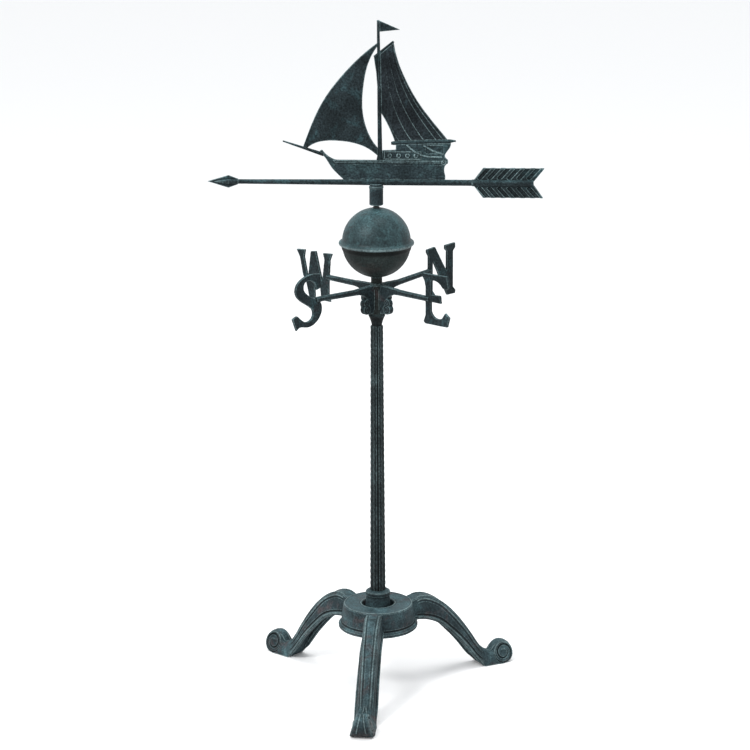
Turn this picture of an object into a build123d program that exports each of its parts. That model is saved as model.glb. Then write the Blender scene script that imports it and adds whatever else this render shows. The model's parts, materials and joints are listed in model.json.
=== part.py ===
from build123d import *
import os

# Ship weather vane on a three-legged garden stand, in millimetres.
# Origin: on the ground under the post axis.  +Z is up, the arrow lies along X with its tip at -X.

# ---- driving dimensions ------------------------------------------------------------------
# heights of the stack, from the ground up
HUB_TOP = 157.0
HUB_FOOT = 112.0
WELL_FLOOR = 134.0
COLLAR_TOP = 183.0
POST_TOP = 702.0
NECK_FOOT = 757.0
BALL_LOW_CENTRE = 831.0
BALL_SEAM = 829.0
BALL_HIGH_CENTRE = 834.0
SOCKET_FOOT = 900.0
SHAFT_Z = 940.5
DECK_Z = 980.0
MAST_TOP = 1226.0

# centre rod and what runs on it
ROD_R = 4.0
ROD_FOOT = 113.0
ROD_TOP = 917.0
RUNNING_GAP = 0.06
PASSING_GAP = 0.3
WASHER_THICK = 2.0
ROD_NUT_FLATS = 13.0
ROD_NUT_HIGH = 6.5
BALL_NUT_FLATS = 10.0
BALL_NUT_TOP = 897.2

# base hub
HUB_TOP_R = 63.6
HUB_SIDE_R = 68.2
HUB_BEAD_R = 72.6
HUB_WALL_R = 58.0
WELL_MOUTH_R = 29.6
WELL_FLOOR_R = 25.6
WELL_TUBE_R = 34.0
WELL_THICK = 8.0

# legs
LEG_AZIMUTHS = {"leg_front": -93.3, "leg_right": 29.75, "leg_left": 140.6}
LEG_ROOT_HALF = 18.5
LEG_FOOT_HALF = 21.0
PAD_HALF = 23.0
RIDGE_ROOT_HALF = 12.5
RIDGE_FOOT_HALF = 9.0
LEG_BEAD = 7.0
LEG_CHANNEL = 10.0
SCROLL_R = 20.5
SCROLL_X = 256.0
SCROLL_EYE_R = 8.0
SCROLL_EYE_WIDE = 34.0
SCROLL_TOP_HALF = 9.5
PAD_START = 212.0
BOLT_R = 3.0
BOLT_Z = 136.0
BOLT_SPREAD = 7.5
BOLT_SEAT = 54.0
BOLT_HEAD_FLATS = 10.0
BOLT_HEAD_HIGH = 4.0
BOLT_LENGTH = 34.0

# post and collar
COLLAR_FOOT_R = 24.9
COLLAR_WAIST_R = 21.2
COLLAR_LIP_R = 22.4
POST_FOOT_R = 12.7
POST_HEAD_R = 10.4
RIB_COUNT = 6
RIB_START = 7.0
RIB_FOOT_R = 3.2
RIB_HEAD_R = 2.5
RIB_SUNK = 1.4
RIB_TOP = 690.0
SPIGOT_R = 12.0
SPIGOT_FOOT = 142.0
CAPITAL_R = 15.0

# ball
BALL_R = 61.0
BALL_SKIN = 2.0
BALL_RIM_R = 67.0

# compass directions
NORTH_AZIMUTH = 49.15
HUB_R = 12.5
ARM_Z = 750.0
LETTER_FOOT = 705.0
LETTER_THICK = 4.5
ARM_WIDE = 8.0
SLOT_WIDE = 6.0
SLOT_FLOOR_R = 7.0
SLOT_RISE = 3.0
SCREW_R = 2.5
SCREW_LONG = 8.5
SCREW_KEY = 2.5

# arrow and ship
ARROW_TIP = -298.5
HEAD_REAR = -243.5
TAIL_FRONT = 168.0
TAIL_SHOULDER = 188.0
TAIL_REAR = 295.5
TAIL_NOTCH = 276.7
TAIL_HALF = 26.5
TAIL_THICK = 7.0
TAIL_WEB = 2.4
BARB_COUNT = 6
BARB_PITCH = 17.3
BARB_GAP = 6.5
BARB_SLOPE = 48.0
SHAFT_R = 5.35
SHAFT_TIP_R = 4.1
SHAFT_END = 186.0
HULL_THICK = 6.0
SAIL_THICK = 4.0
SOCKET_R = 12.25
BUSH_R = 7.0
BUSH_TOP = 915.5
THRUST_R = 3.9


# ---- shared helpers ----------------------------------------------------------------------
def turned(points):
    """Solid of revolution about Z from (radius, height) corners."""
    return revolve(Plane.XZ * make_face(Polyline(*points, close=True)), Axis.Z)


def plate(edges, thick):
    """Flat plate in the XZ plane, centred on Y = 0, from edges drawn as (x, z)."""
    return extrude(Plane.XZ * make_face(edges), thick / 2, both=True)


def polygon_plate(points, thick):
    return plate(Polyline(*points, close=True), thick)


def rod_between(start, end, start_r, end_r):
    """Tapered round bar in the XZ plane between two (x, z) points."""
    a = Vector(start[0], 0, start[1])
    b = Vector(end[0], 0, end[1])
    start_disc = Sketch() + Plane(a, z_dir=b - a) * Circle(start_r)
    end_disc = Sketch() + Plane(b, z_dir=b - a) * Circle(end_r)
    return loft([start_disc, end_disc])


def pipe_z(radius, low, high):
    return Pos(0, 0, (low + high) / 2) * Cylinder(radius, high - low)


def hex_z(across_flats, low, high):
    face = Pos(0, 0, low) * RegularPolygon(across_flats / 2, 6, major_radius=False)
    return extrude(face, high - low)


def save(node, solid):
    export_step(solid, f"parts/{node}.step")


# ---- stand -------------------------------------------------------------------------------
def hub_outside():
    """Outer envelope of the base hub, without its cavity."""
    return turned([
        (0, HUB_FOOT), (HUB_BEAD_R - 2, HUB_FOOT), (HUB_BEAD_R, HUB_FOOT + 2), (HUB_BEAD_R, HUB_FOOT + 6),
        (HUB_SIDE_R, HUB_FOOT + 10), (HUB_TOP_R, HUB_TOP - 1.5), (HUB_TOP_R - 1.5, HUB_TOP), (0, HUB_TOP),
    ])


def base_hub():
    cavity = turned([
        (WELL_TUBE_R, HUB_FOOT - 1), (HUB_WALL_R, HUB_FOOT - 1), (HUB_WALL_R - 2, HUB_TOP - 8),
        (WELL_TUBE_R, HUB_TOP - 8),
    ])
    under_well = pipe_z(WELL_TUBE_R + 0.01, HUB_FOOT - 1, WELL_FLOOR - WELL_THICK)
    well = turned([
        (0, WELL_FLOOR), (WELL_FLOOR_R, WELL_FLOOR), (WELL_MOUTH_R, HUB_TOP + 1), (0, HUB_TOP + 1),
    ])
    hub = hub_outside() - cavity - under_well - well - pipe_z(ROD_R + PASSING_GAP, HUB_FOOT, HUB_TOP)
    for azimuth in LEG_AZIMUTHS.values():
        seat = Pos((BOLT_SEAT + HUB_WALL_R + 3) / 2, 0, BOLT_Z) * Box(HUB_WALL_R + 3 - BOLT_SEAT, 30, 18)
        hub += Rot(0, 0, azimuth) * seat
        for side in (-BOLT_SPREAD, BOLT_SPREAD):
            hole = Pos(HUB_SIDE_R - 4, side, BOLT_Z) * Rot(0, 90, 0) * Cylinder(BOLT_R + PASSING_GAP, 30)
            hub -= Rot(0, 0, azimuth) * hole
    return hub


# where the strip's top face runs into the roll, as (radius from the post, height)
ROLL_JOIN = (236, 23)

# side view of a leg as (radius from the post, height), both lines running from hub to foot
LEG_TOP_LINE = Spline(
    (52, 149), (62, 154), (85, 159.5), (108, 153), (136, 133.5), (177, 86), (199, 54), (215, 34), ROLL_JOIN)
LEG_LOW_LINE = Spline(
    (52, 116), (62, 116.5), (86, 115), (117, 102.5), (147, 75.5), (170, 50), (194, 19), (PAD_START, 0))


def leg_section(part_way):
    """Closed section across the leg at part_way (0 to 1) of its length from hub to foot."""
    top = LEG_TOP_LINE @ part_way
    run = LEG_LOW_LINE @ part_way - top
    down = run.normalized()
    depth = run.length
    ridge = RIDGE_ROOT_HALF + (RIDGE_FOOT_HALF - RIDGE_ROOT_HALF) * part_way
    skirt = LEG_ROOT_HALF + (LEG_FOOT_HALF - LEG_ROOT_HALF) * part_way
    hollow = 1 + (LEG_CHANNEL - 1) * min(1, 4 * part_way, 6 * (1 - part_way))
    side = [
        (0, ridge), (2, ridge + 2), (depth - LEG_BEAD - 2, skirt - 2.5), (depth - LEG_BEAD, skirt - 0.5),
        (depth - 2, skirt), (depth, skirt - 2), (depth, skirt - 5.5), (depth - hollow, skirt - 7.5),
    ]
    outline = side + [(along, -half) for along, half in reversed(side)]
    corners = [Vector(top.X + down.X * along, half, top.Y + down.Y * along) for along, half in outline]
    return make_face(Polyline(*corners, close=True))


def leg():
    """One leg, pointing along +X: a swept strip that ends in a rolled scroll on a flat pad."""
    strip = loft([leg_section(index / 10) for index in range(11)])
    eye = Pos(SCROLL_X, 0, SCROLL_R) * Rot(90, 0, 0)
    roll = eye * Cylinder(SCROLL_R, 80)
    web = polygon_plate([(PAD_START, 0), (SCROLL_X, 0), (SCROLL_X, SCROLL_R), ROLL_JOIN], 80)
    taper_face = Plane.YZ * make_face(Polyline(
        (-PAD_HALF, 0), (PAD_HALF, 0), (SCROLL_TOP_HALF, 2 * SCROLL_R), (-SCROLL_TOP_HALF, 2 * SCROLL_R),
        close=True))
    taper = extrude(taper_face, 300)
    boss = eye * Cylinder(SCROLL_EYE_R, SCROLL_EYE_WIDE)
    body = strip + ((roll + web) & taper) + boss - hub_outside()
    for side in (-BOLT_SPREAD, BOLT_SPREAD):
        body -= Pos(BOLT_SEAT, side, BOLT_Z) * Rot(0, 90, 0) * pipe_z(BOLT_R, 0, BOLT_LENGTH)
    return body


def leg_bolts():
    """Two hexagon bolts for each leg, put in from inside the hub."""
    bolts = []
    for azimuth in LEG_AZIMUTHS.values():
        for side in (-BOLT_SPREAD, BOLT_SPREAD):
            head = hex_z(BOLT_HEAD_FLATS, -BOLT_HEAD_HIGH, 0)
            shank = pipe_z(BOLT_R, 0, BOLT_LENGTH)
            place = Rot(0, 0, azimuth) * Pos(BOLT_SEAT, side, BOLT_Z) * Rot(0, 90, 0)
            bolts.append(place * (head + shank))
    return Compound(children=bolts)


def post_collar():
    ring = turned([
        (0, WELL_FLOOR), (COLLAR_FOOT_R, WELL_FLOOR), (COLLAR_WAIST_R + 0.8, COLLAR_TOP - 17),
        (COLLAR_WAIST_R, COLLAR_TOP - 11), (COLLAR_LIP_R, COLLAR_TOP - 9.5), (COLLAR_LIP_R, COLLAR_TOP - 3),
        (COLLAR_LIP_R - 1.5, COLLAR_TOP - 1.5), (POST_FOOT_R + 3, COLLAR_TOP), (0, COLLAR_TOP),
    ])
    ring -= pipe_z(SPIGOT_R, SPIGOT_FOOT, COLLAR_TOP + 1)
    return ring - pipe_z(ROD_R + PASSING_GAP, WELL_FLOOR - 1, SPIGOT_FOOT + 1)


def post():
    """Tapered tube with six upright ribs, a spigot below and a flared capital above."""
    shaft = turned([
        (0, SPIGOT_FOOT), (SPIGOT_R, SPIGOT_FOOT), (SPIGOT_R, COLLAR_TOP), (POST_FOOT_R, COLLAR_TOP),
        (POST_HEAD_R, RIB_TOP - 6), (11.5, RIB_TOP), (CAPITAL_R - 1, POST_TOP - 4),
        (CAPITAL_R, POST_TOP - 2), (CAPITAL_R, POST_TOP), (0, POST_TOP),
    ])
    for index in range(RIB_COUNT):
        foot = Pos(POST_FOOT_R - RIB_SUNK, 0, COLLAR_TOP) * Circle(RIB_FOOT_R)
        head = Pos(POST_HEAD_R - RIB_SUNK, 0, RIB_TOP) * Circle(RIB_HEAD_R)
        rib = loft([Sketch() + foot, Sketch() + head])
        shaft += Rot(0, 0, RIB_START + index * 360 / RIB_COUNT) * rib
    return shaft - pipe_z(ROD_R + PASSING_GAP, SPIGOT_FOOT - 1, POST_TOP + 1)


def centre_rod():
    return chamfer(pipe_z(ROD_R, ROD_FOOT, ROD_TOP).edges().filter_by(GeomType.CIRCLE), 0.8)


def rod_washer():
    top = WELL_FLOOR - WELL_THICK
    return pipe_z(12, top - WASHER_THICK, top) - pipe_z(ROD_R, ROD_FOOT, WELL_FLOOR)


def rod_nut():
    top = WELL_FLOOR - WELL_THICK - WASHER_THICK
    return hex_z(ROD_NUT_FLATS, top - ROD_NUT_HIGH, top) - pipe_z(ROD_R, ROD_FOOT, WELL_FLOOR)


# ---- ball --------------------------------------------------------------------------------
def ball_solid(centre):
    return Pos(0, 0, centre) * Sphere(BALL_R)


def ball_shell(centre, upward, rim):
    """Half of a hollow ball; rim is its flange profile as (radius, height) corners."""
    room = Pos(0, 0, BALL_SEAM + (50 if upward else -50)) * Box(200, 200, 100)
    shell = (ball_solid(centre) - Pos(0, 0, centre) * Sphere(BALL_R - BALL_SKIN)) & room
    return shell + turned(rim) - pipe_z(ROD_R + PASSING_GAP, 700, 900)


def ball_lower_shell():
    inner = BALL_R - BALL_SKIN
    return ball_shell(BALL_LOW_CENTRE, False, [
        (inner, BALL_SEAM - 4), (BALL_R - 1.5, BALL_SEAM - 10.5), (BALL_R + 0.6, BALL_SEAM - 8),
        (BALL_R + 1.6, BALL_SEAM - 3), (BALL_RIM_R - 1.5, BALL_SEAM), (inner, BALL_SEAM),
    ])


def ball_upper_shell():
    inner = BALL_R - BALL_SKIN
    return ball_shell(BALL_HIGH_CENTRE, True, [
        (inner, BALL_SEAM), (BALL_RIM_R - 1, BALL_SEAM), (BALL_RIM_R, BALL_SEAM + 1),
        (BALL_RIM_R, BALL_SEAM + 4), (BALL_R + 3, BALL_SEAM + 6), (BALL_R + 0.6, BALL_SEAM + 9),
        (BALL_R - 1.2, BALL_SEAM + 11.5), (inner, BALL_SEAM + 8),
    ])


def neck_spacer():
    top = BALL_LOW_CENTRE - BALL_R + 2
    neck = turned([
        (0, NECK_FOOT), (11.5, NECK_FOOT), (11.5, NECK_FOOT + 2), (10, NECK_FOOT + 3.5), (10, top),
        (0, top),
    ])
    return neck - pipe_z(ROD_R + PASSING_GAP, NECK_FOOT - 1, top + 1) - ball_solid(BALL_LOW_CENTRE)


def ball_nut():
    nut = hex_z(BALL_NUT_FLATS, BALL_NUT_TOP - 4, BALL_NUT_TOP)
    return nut - pipe_z(ROD_R, BALL_NUT_TOP - 5, SOCKET_FOOT) - ball_solid(BALL_HIGH_CENTRE)


# ---- compass directions ------------------------------------------------------------------
def direction_hub():
    """Round hub with four upright slots for the arms and a tapped hole for its set screw."""
    hub = turned([
        (0, POST_TOP), (HUB_R, POST_TOP), (HUB_R, NECK_FOOT - 1.5), (HUB_R - 1.5, NECK_FOOT),
        (0, NECK_FOOT),
    ])
    for index in range(4):
        slot = Pos(SLOT_FLOOR_R + 10, 0, (POST_TOP + NECK_FOOT) / 2 + SLOT_RISE)
        slot *= Box(20, SLOT_WIDE, NECK_FOOT - POST_TOP)
        hub -= Rot(0, 0, NORTH_AZIMUTH + 90 * index) * slot
    hub -= pipe_z(ROD_R + RUNNING_GAP, POST_TOP - 1, NECK_FOOT + 1)
    return hub - screw_place() * pipe_z(SCREW_R, -1, HUB_R)


def screw_place():
    """Frame of the set screw: it points outward, midway between the north and west arms."""
    return Rot(0, 0, NORTH_AZIMUTH + 45) * Pos(ROD_R + 0.5, 0, 716) * Rot(0, 90, 0)


def hub_set_screw():
    key_socket = hex_z(SCREW_KEY, SCREW_LONG - 2, SCREW_LONG + 1)
    return screw_place() * (pipe_z(SCREW_R, 0, SCREW_LONG) - key_socket)


def arm_root():
    """Tongue in the hub's slot, the bracket that grips the hub and its two-lobed scroll."""
    tongue = Pos((SLOT_FLOOR_R + 14) / 2, 0, (POST_TOP + SLOT_RISE + NECK_FOOT) / 2)
    tongue *= Box(14 - SLOT_FLOOR_R, SLOT_WIDE, NECK_FOOT - POST_TOP - SLOT_RISE)
    bracket = plate([
        Polyline(
            (HUB_R - 1, 706), (HUB_R - 1, NECK_FOOT), (20, NECK_FOOT - 0.5), (52, ARM_Z + 5.5),
            (52, ARM_Z - 5)),
        ThreePointArc((52, ARM_Z - 5), (38, ARM_Z - 8), (28, 734)),
        Polyline((28, 734), (29, 715), (25, 706), (HUB_R - 1, 706)),
    ], ARM_WIDE)
    upper_lobe = plate(Pos(28.5, 727) * Circle(7), ARM_WIDE + 1)
    lower_lobe = plate(Pos(28, 715) * Circle(9), ARM_WIDE + 2)
    return tongue + (bracket + upper_lobe + lower_lobe - pipe_z(HUB_R, 600, 800))


def arm_bar(reach, rise):
    """Bevelled bar from the bracket out to the letter; its outer end is rise higher than its root."""
    bar = polygon_plate([
        (50, ARM_Z - 5.2), (50, ARM_Z + 5.4), (reach, ARM_Z + rise + 4.6), (reach, ARM_Z + rise - 4.6),
    ], ARM_WIDE)
    long_edges = bar.edges().filter_by(lambda edge: edge.length > 0.9 * (reach - 50))
    return chamfer(long_edges, 2)


# letter outlines as (x from the letter's left, y from its foot)
def letter_n():
    return Polyline(
        (0, 93), (22, 95), (54, 44), (54, 82), (49, 86), (49, 94), (76, 95), (76, 86), (70, 80), (70, 14),
        (77, 6), (76, 0), (55, 0), (51, 7), (16, 71), (16, 14), (22, 7), (21, 1), (2, 1), (1, 7), (5, 14),
        (5, 80), (0, 88), close=True)


def letter_e():
    return [
        Polyline(
            (12.5, 44), (12.5, 66), (10, 77), (3, 86), (4, 90), (62, 92), (67, 72), (60, 67), (52, 70)),
        ThreePointArc((52, 70), (44, 77), (25.5, 79)),
        Polyline((25.5, 79), (25.5, 54), (47, 55), (49, 41), (25.5, 41), (25.5, 24)),
        ThreePointArc((25.5, 24), (39, 13), (52, 16)),
        Polyline((52, 16), (59, 26), (69, 19), (64, 1), (12, 0), (8, 4), (12.5, 16), (12.5, 44)),
    ]


def letter_s():
    outer_left = [(68, 95), (46, 97), (23, 92), (9.5, 80), (8.5, 68), (16, 57), (30, 47), (45, 37)]
    bowl_in = [(45, 37), (50, 29), (48, 20), (41, 15), (31, 15), (21, 21), (11, 29)]
    bowl_out = [(9.5, 2), (19, 7), (31, 5), (46, 5), (59, 11), (69, 22), (72, 33), (70, 42)]
    spine = [(70, 42), (61, 50), (47.5, 56), (34, 65), (27.5, 76), (32, 85), (44, 86), (55, 79)]
    return [
        Spline(*outer_left), Spline(*bowl_in), Polyline((11, 29), (0, 25), (9.5, 2)), Spline(*bowl_out),
        Spline(*spine), Polyline((55, 79), (59, 67), (71, 70), (68, 95)),
    ]


def letter_w():
    return Polyline(
        (0, 86), (22, 88), (19, 74), (29, 35), (36.5, 87), (49.5, 89), (65, 34), (71.5, 76), (68, 88),
        (91, 90), (85, 77), (82, 40), (81.5, 12), (86, 0), (66, 0), (62, 8), (60, 24), (45, 49), (46, 4),
        (44, 0), (32, 0), (29, 11), (25, 26), (16, 41), (9, 72), close=True)


def compass_arm(outline, near, mirrored, reach, rise, azimuth):
    """Arm with its letter: near is the radius at which the letter's left side stands."""
    letter = plate(outline, LETTER_THICK)
    if mirrored:
        letter = mirror(letter, about=Plane.YZ)
    arm = arm_root() + arm_bar(reach, rise) + Pos(near, 0, LETTER_FOOT) * letter
    return Rot(0, 0, azimuth) * arm


# ---- vane --------------------------------------------------------------------------------
def shaft_core():
    return rod_between((HEAD_REAR, SHAFT_Z), (0, SHAFT_Z), SHAFT_TIP_R, SHAFT_R)


def arrow_shaft():
    rear = rod_between((0, SHAFT_Z), (SHAFT_END, SHAFT_Z), SHAFT_R, SHAFT_R)
    return shaft_core() + rear


def vane_socket():
    body = turned([
        (0, SOCKET_FOOT), (SOCKET_R - 1, SOCKET_FOOT), (SOCKET_R, SOCKET_FOOT + 1),
        (SOCKET_R, SHAFT_Z - 11), (SOCKET_R + 0.6, SHAFT_Z - 10), (SOCKET_R + 0.6, SHAFT_Z - 7),
        (SOCKET_R - 1, SHAFT_Z - 5.5),
        (SOCKET_R - 1, SHAFT_Z - 2), (0, SHAFT_Z - 2),
    ])
    bore = pipe_z(BUSH_R, SOCKET_FOOT - 1, ROD_TOP + 2 * THRUST_R + 0.1)
    return body - bore - arrow_shaft()


def pivot_bush():
    bore = pipe_z(ROD_R + RUNNING_GAP, SOCKET_FOOT, BUSH_TOP + 1)
    return pipe_z(BUSH_R, SOCKET_FOOT + 0.5, BUSH_TOP) - bore


def thrust_ball():
    return Pos(0, 0, ROD_TOP + 0.1 + THRUST_R) * Sphere(THRUST_R)


def arrow_head():
    """Diamond with a raised spine, made as two shallow pyramids on one outline."""
    widest, half, rear_half, spine_half = -261.0, 11.2, 4.6, 5.2
    blade = polygon_plate([
        (ARROW_TIP, SHAFT_Z), (widest, SHAFT_Z + half), (HEAD_REAR, SHAFT_Z + rear_half),
        (HEAD_REAR, SHAFT_Z - rear_half), (widest, SHAFT_Z - half),
    ], 3)
    spine = rod_between((ARROW_TIP + 6, SHAFT_Z), (widest, SHAFT_Z), 0.8, spine_half)
    spine += rod_between((widest, SHAFT_Z), (HEAD_REAR, SHAFT_Z), spine_half, rear_half)
    return blade + spine


def arrow_tail():
    """Feathered tail: a notched plate with a round spine and slanting grooves on both faces."""
    vane = polygon_plate([
        (TAIL_FRONT, SHAFT_Z), (TAIL_SHOULDER, SHAFT_Z + TAIL_HALF), (TAIL_REAR, SHAFT_Z + TAIL_HALF),
        (TAIL_NOTCH, SHAFT_Z + 3), (TAIL_NOTCH, SHAFT_Z - 3), (TAIL_REAR - 2, SHAFT_Z - TAIL_HALF),
        (TAIL_SHOULDER, SHAFT_Z - TAIL_HALF),
    ], TAIL_THICK)
    web = Pos(0, 0, SHAFT_Z) * Box(1000, TAIL_WEB, 100)
    for index in range(BARB_COUNT):
        for side in (-1, 1):
            root = Pos(TAIL_FRONT + 12 + BARB_PITCH * index, 0, SHAFT_Z + side * 7)
            groove = root * Rot(0, -side * BARB_SLOPE, 0) * Pos(20, 0, 0) * Box(40, 20, BARB_GAP)
            vane -= groove - web
    spine = rod_between((TAIL_FRONT, SHAFT_Z), (TAIL_SHOULDER, SHAFT_Z), SHAFT_R + 0.6, SHAFT_R + 1.6)
    spine += rod_between((TAIL_SHOULDER, SHAFT_Z), (TAIL_NOTCH, SHAFT_Z), SHAFT_R + 1.6, SHAFT_R + 1.6)
    return vane + spine - rod_between((100, SHAFT_Z), (SHAFT_END, SHAFT_Z), SHAFT_R, SHAFT_R)


# ship, drawn in the XZ plane; the mast leans very slightly forward
MAST_FOOT_X = 7.0
MAST_HEAD_X = 4.6
BOOM_START = (25.6, 1010.3)
BOOM_END = (141.0, 1014.8)
GAFF_THROAT = (-2.5, 1161.5)
GAFF_PEAK = (31.5, 1189.0)
SPRIT_TIP = (-164.0, 1013.2)
SPRIT_ROOT = (-92.0, 989.5)
PENNANT_TIP = (42.5, 1209.5)
PENNANT_THICK = 2.4
RAIL_HIGH = 4.5
WINDOW_X = (24.5, 40, 55.5, 70.5)
WINDOW_Z = 988.8
WINDOW_R = 3.6


def mast_rod():
    spar = rod_between((MAST_FOOT_X, DECK_Z), (MAST_HEAD_X, MAST_TOP), 4.2, 2.4)
    step = turned([
        (0, DECK_Z), (6.5, DECK_Z), (6, DECK_Z + 3), (4.2, DECK_Z + 12), (0, DECK_Z + 12),
    ])
    return spar + Pos(MAST_FOOT_X, 0, 0) * step


def boom():
    return rod_between(BOOM_START, BOOM_END, 3.6, 3.3)


def gaff_bar():
    return rod_between(GAFF_THROAT, GAFF_PEAK, 2.6, 2.1)


def bowsprit():
    return rod_between(SPRIT_TIP, SPRIT_ROOT, 1.3, 3.4)


def mast():
    """Mast with the gaff's jaw and the narrow strip of sail that shows in front of it."""
    jaw = polygon_plate([
        (-3, 1161), (-1.5, 1150), (0.6, 1136), (2.8, 1109), (5, 1109), (5, 1166),
    ], SAIL_THICK)
    return mast_rod() + jaw + (gaff_bar() & ahead_of_mast())


def ahead_of_mast():
    """Block that holds the part of the gaff in front of the mast."""
    return Pos(-15, 0, GAFF_THROAT[1]) * Box(40, 20, 60)


def gaff():
    return gaff_bar() - ahead_of_mast() - mast_rod()


def pennant():
    flag = polygon_plate([(MAST_HEAD_X, MAST_TOP), PENNANT_TIP, (MAST_HEAD_X, 1205.5)], PENNANT_THICK)
    return flag - mast_rod()


def jib_sail():
    luff = [(3, 1186.5), (-32.2, 1157.2), (-65.6, 1121.5), (-92.4, 1084.6), (-112.6, 1044.1), (-129, 1001)]
    foot = [(-121, 1001), (-108.4, 1009.2), (-70.4, 1014.4), (-34.7, 1009.2), (-7.9, 996.7), (5, 985)]
    leech = [
        (5, 1000), (-3.4, 1010), (-19, 1044.1), (-23.9, 1082.3), (-22.3, 1104.7), (-13.4, 1149.4),
        (3, 1180),
    ]
    sail = plate([
        Spline(*luff), Line(luff[-1], foot[0]), Spline(*foot), Line(foot[-1], leech[0]), Spline(*leech),
        Line(leech[-1], luff[0]),
    ], SAIL_THICK)
    return sail - mast_rod() - bowsprit()


def mainsail():
    leech = [GAFF_PEAK, (38.7, 1156), (54.3, 1118.1), (74.4, 1082.3), (101.3, 1046.4), (127, 1015)]
    luff = [(34, 1010), (18.9, 1046.4), (9.5, 1063)]
    sail = plate([
        Spline(*leech), Line(leech[-1], luff[0]), Spline(*luff),
        Polyline(luff[-1], (MAST_HEAD_X, 1168), GAFF_PEAK),
    ], SAIL_THICK)
    return sail - mast_rod() - boom() - gaff_bar()


def ship_hull():
    """Hull, deckhouse and stern gallery as one casting that straddles the arrow shaft."""
    stem = [(-96, 990), (-90.6, 985.4), (-79.5, 968.4), (-68.4, 955.9), (-52.7, SHAFT_Z + 1)]
    stern = [(119, SHAFT_Z + 1), (121.6, 951.3), (119.7, 962), (121, 970), (126.4, 975.2)]
    quarter = [(126.3, 981), (121, 989), (128.4, 1001.2), (131, 1011)]
    hull = plate([
        Spline(*stem), Line(stem[-1], stern[0]), Spline(*stern), Line(stern[-1], quarter[0]),
        Spline(*quarter),
        Polyline(quarter[-1], (34.6, 1009), (34.6, 998.5), (11, 997.5), (11, DECK_Z), (-70, DECK_Z)),
        ThreePointArc((-70, DECK_Z), (-83, 986), (-95, 998)),
        Polyline((-95, 998), (-99, 996.5), (-96, 990)),
    ], HULL_THICK)
    hull += polygon_plate([
        (-72, DECK_Z - RAIL_HIGH), (-76, DECK_Z), (126, DECK_Z), (126, DECK_Z - RAIL_HIGH),
    ], HULL_THICK + 2)
    for x in WINDOW_X:
        window = Circle(WINDOW_R) - Circle(WINDOW_R / 2)
        hull += plate(Pos(x, WINDOW_Z) * window, HULL_THICK + 2)
    return hull - arrow_shaft() - mast_rod() - boom() - bowsprit()


# ---- write every piece -------------------------------------------------------------------
def pieces():
    out = {"base_hub": base_hub(), "leg_bolts": leg_bolts(), "post_collar": post_collar(), "post": post()}
    one_leg = leg()
    for node, azimuth in LEG_AZIMUTHS.items():
        out[node] = Rot(0, 0, azimuth) * one_leg
    for make in (
            centre_rod, rod_washer, rod_nut, neck_spacer, ball_lower_shell, ball_upper_shell, ball_nut,
            direction_hub, hub_set_screw, vane_socket, pivot_bush, thrust_ball, arrow_shaft, arrow_head,
            arrow_tail, ship_hull, bowsprit, mast, pennant, jib_sail, mainsail, gaff, boom):
        out[make.__name__] = make()
    out["arm_north"] = compass_arm(letter_n(), 129.5, False, 140, 7, NORTH_AZIMUTH)
    out["arm_east"] = compass_arm(letter_e(), 107.5, False, 128, 0, NORTH_AZIMUTH - 90)
    out["arm_south"] = compass_arm(letter_s(), 211, True, 152, 5, NORTH_AZIMUTH - 180)
    out["arm_west"] = compass_arm(letter_w(), 201, True, 124, 0, NORTH_AZIMUTH + 90)
    return out


os.makedirs("parts", exist_ok=True)
for name, shape in pieces().items():
    save(name, shape)
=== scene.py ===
import json
import math

import bmesh
import bpy
import numpy as np
from mathutils import Matrix, Vector

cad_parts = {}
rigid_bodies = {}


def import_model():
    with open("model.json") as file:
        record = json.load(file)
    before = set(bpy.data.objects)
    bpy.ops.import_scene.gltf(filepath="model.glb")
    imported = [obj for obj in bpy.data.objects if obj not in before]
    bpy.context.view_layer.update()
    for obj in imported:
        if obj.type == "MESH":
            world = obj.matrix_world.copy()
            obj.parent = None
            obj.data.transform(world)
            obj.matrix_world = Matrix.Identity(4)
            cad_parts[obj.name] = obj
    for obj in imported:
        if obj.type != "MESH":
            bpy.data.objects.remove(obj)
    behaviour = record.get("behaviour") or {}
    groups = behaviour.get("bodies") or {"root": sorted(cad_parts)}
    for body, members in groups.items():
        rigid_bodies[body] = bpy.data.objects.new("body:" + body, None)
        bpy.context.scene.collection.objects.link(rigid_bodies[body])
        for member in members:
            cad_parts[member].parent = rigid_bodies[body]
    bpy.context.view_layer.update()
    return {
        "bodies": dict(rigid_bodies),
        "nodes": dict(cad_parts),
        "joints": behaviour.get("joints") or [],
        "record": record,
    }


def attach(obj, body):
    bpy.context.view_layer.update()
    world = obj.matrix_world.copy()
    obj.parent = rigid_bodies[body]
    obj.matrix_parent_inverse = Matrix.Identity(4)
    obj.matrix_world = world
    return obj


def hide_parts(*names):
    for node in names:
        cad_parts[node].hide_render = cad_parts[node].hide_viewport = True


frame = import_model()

MM = 0.001
NODES = frame["nodes"]


# ---- small numeric helpers ----------------------------------------------------------------
def lattice(points, offset, seed):
    """Repeatable value in -1..1 for each whole-number lattice point."""
    x, y, z = [(points[:, axis] + offset[axis]).astype(np.int64) for axis in range(3)]
    mixed = (x * 374761393 + y * 668265263 + z * 1274126177 + seed * 974634777) & 0xFFFFFFFF
    mixed = ((mixed ^ (mixed >> 13)) * 1103515245) & 0xFFFFFFFF
    return ((mixed ^ (mixed >> 16)) & 0xFFFF) / 32767.5 - 1


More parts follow.
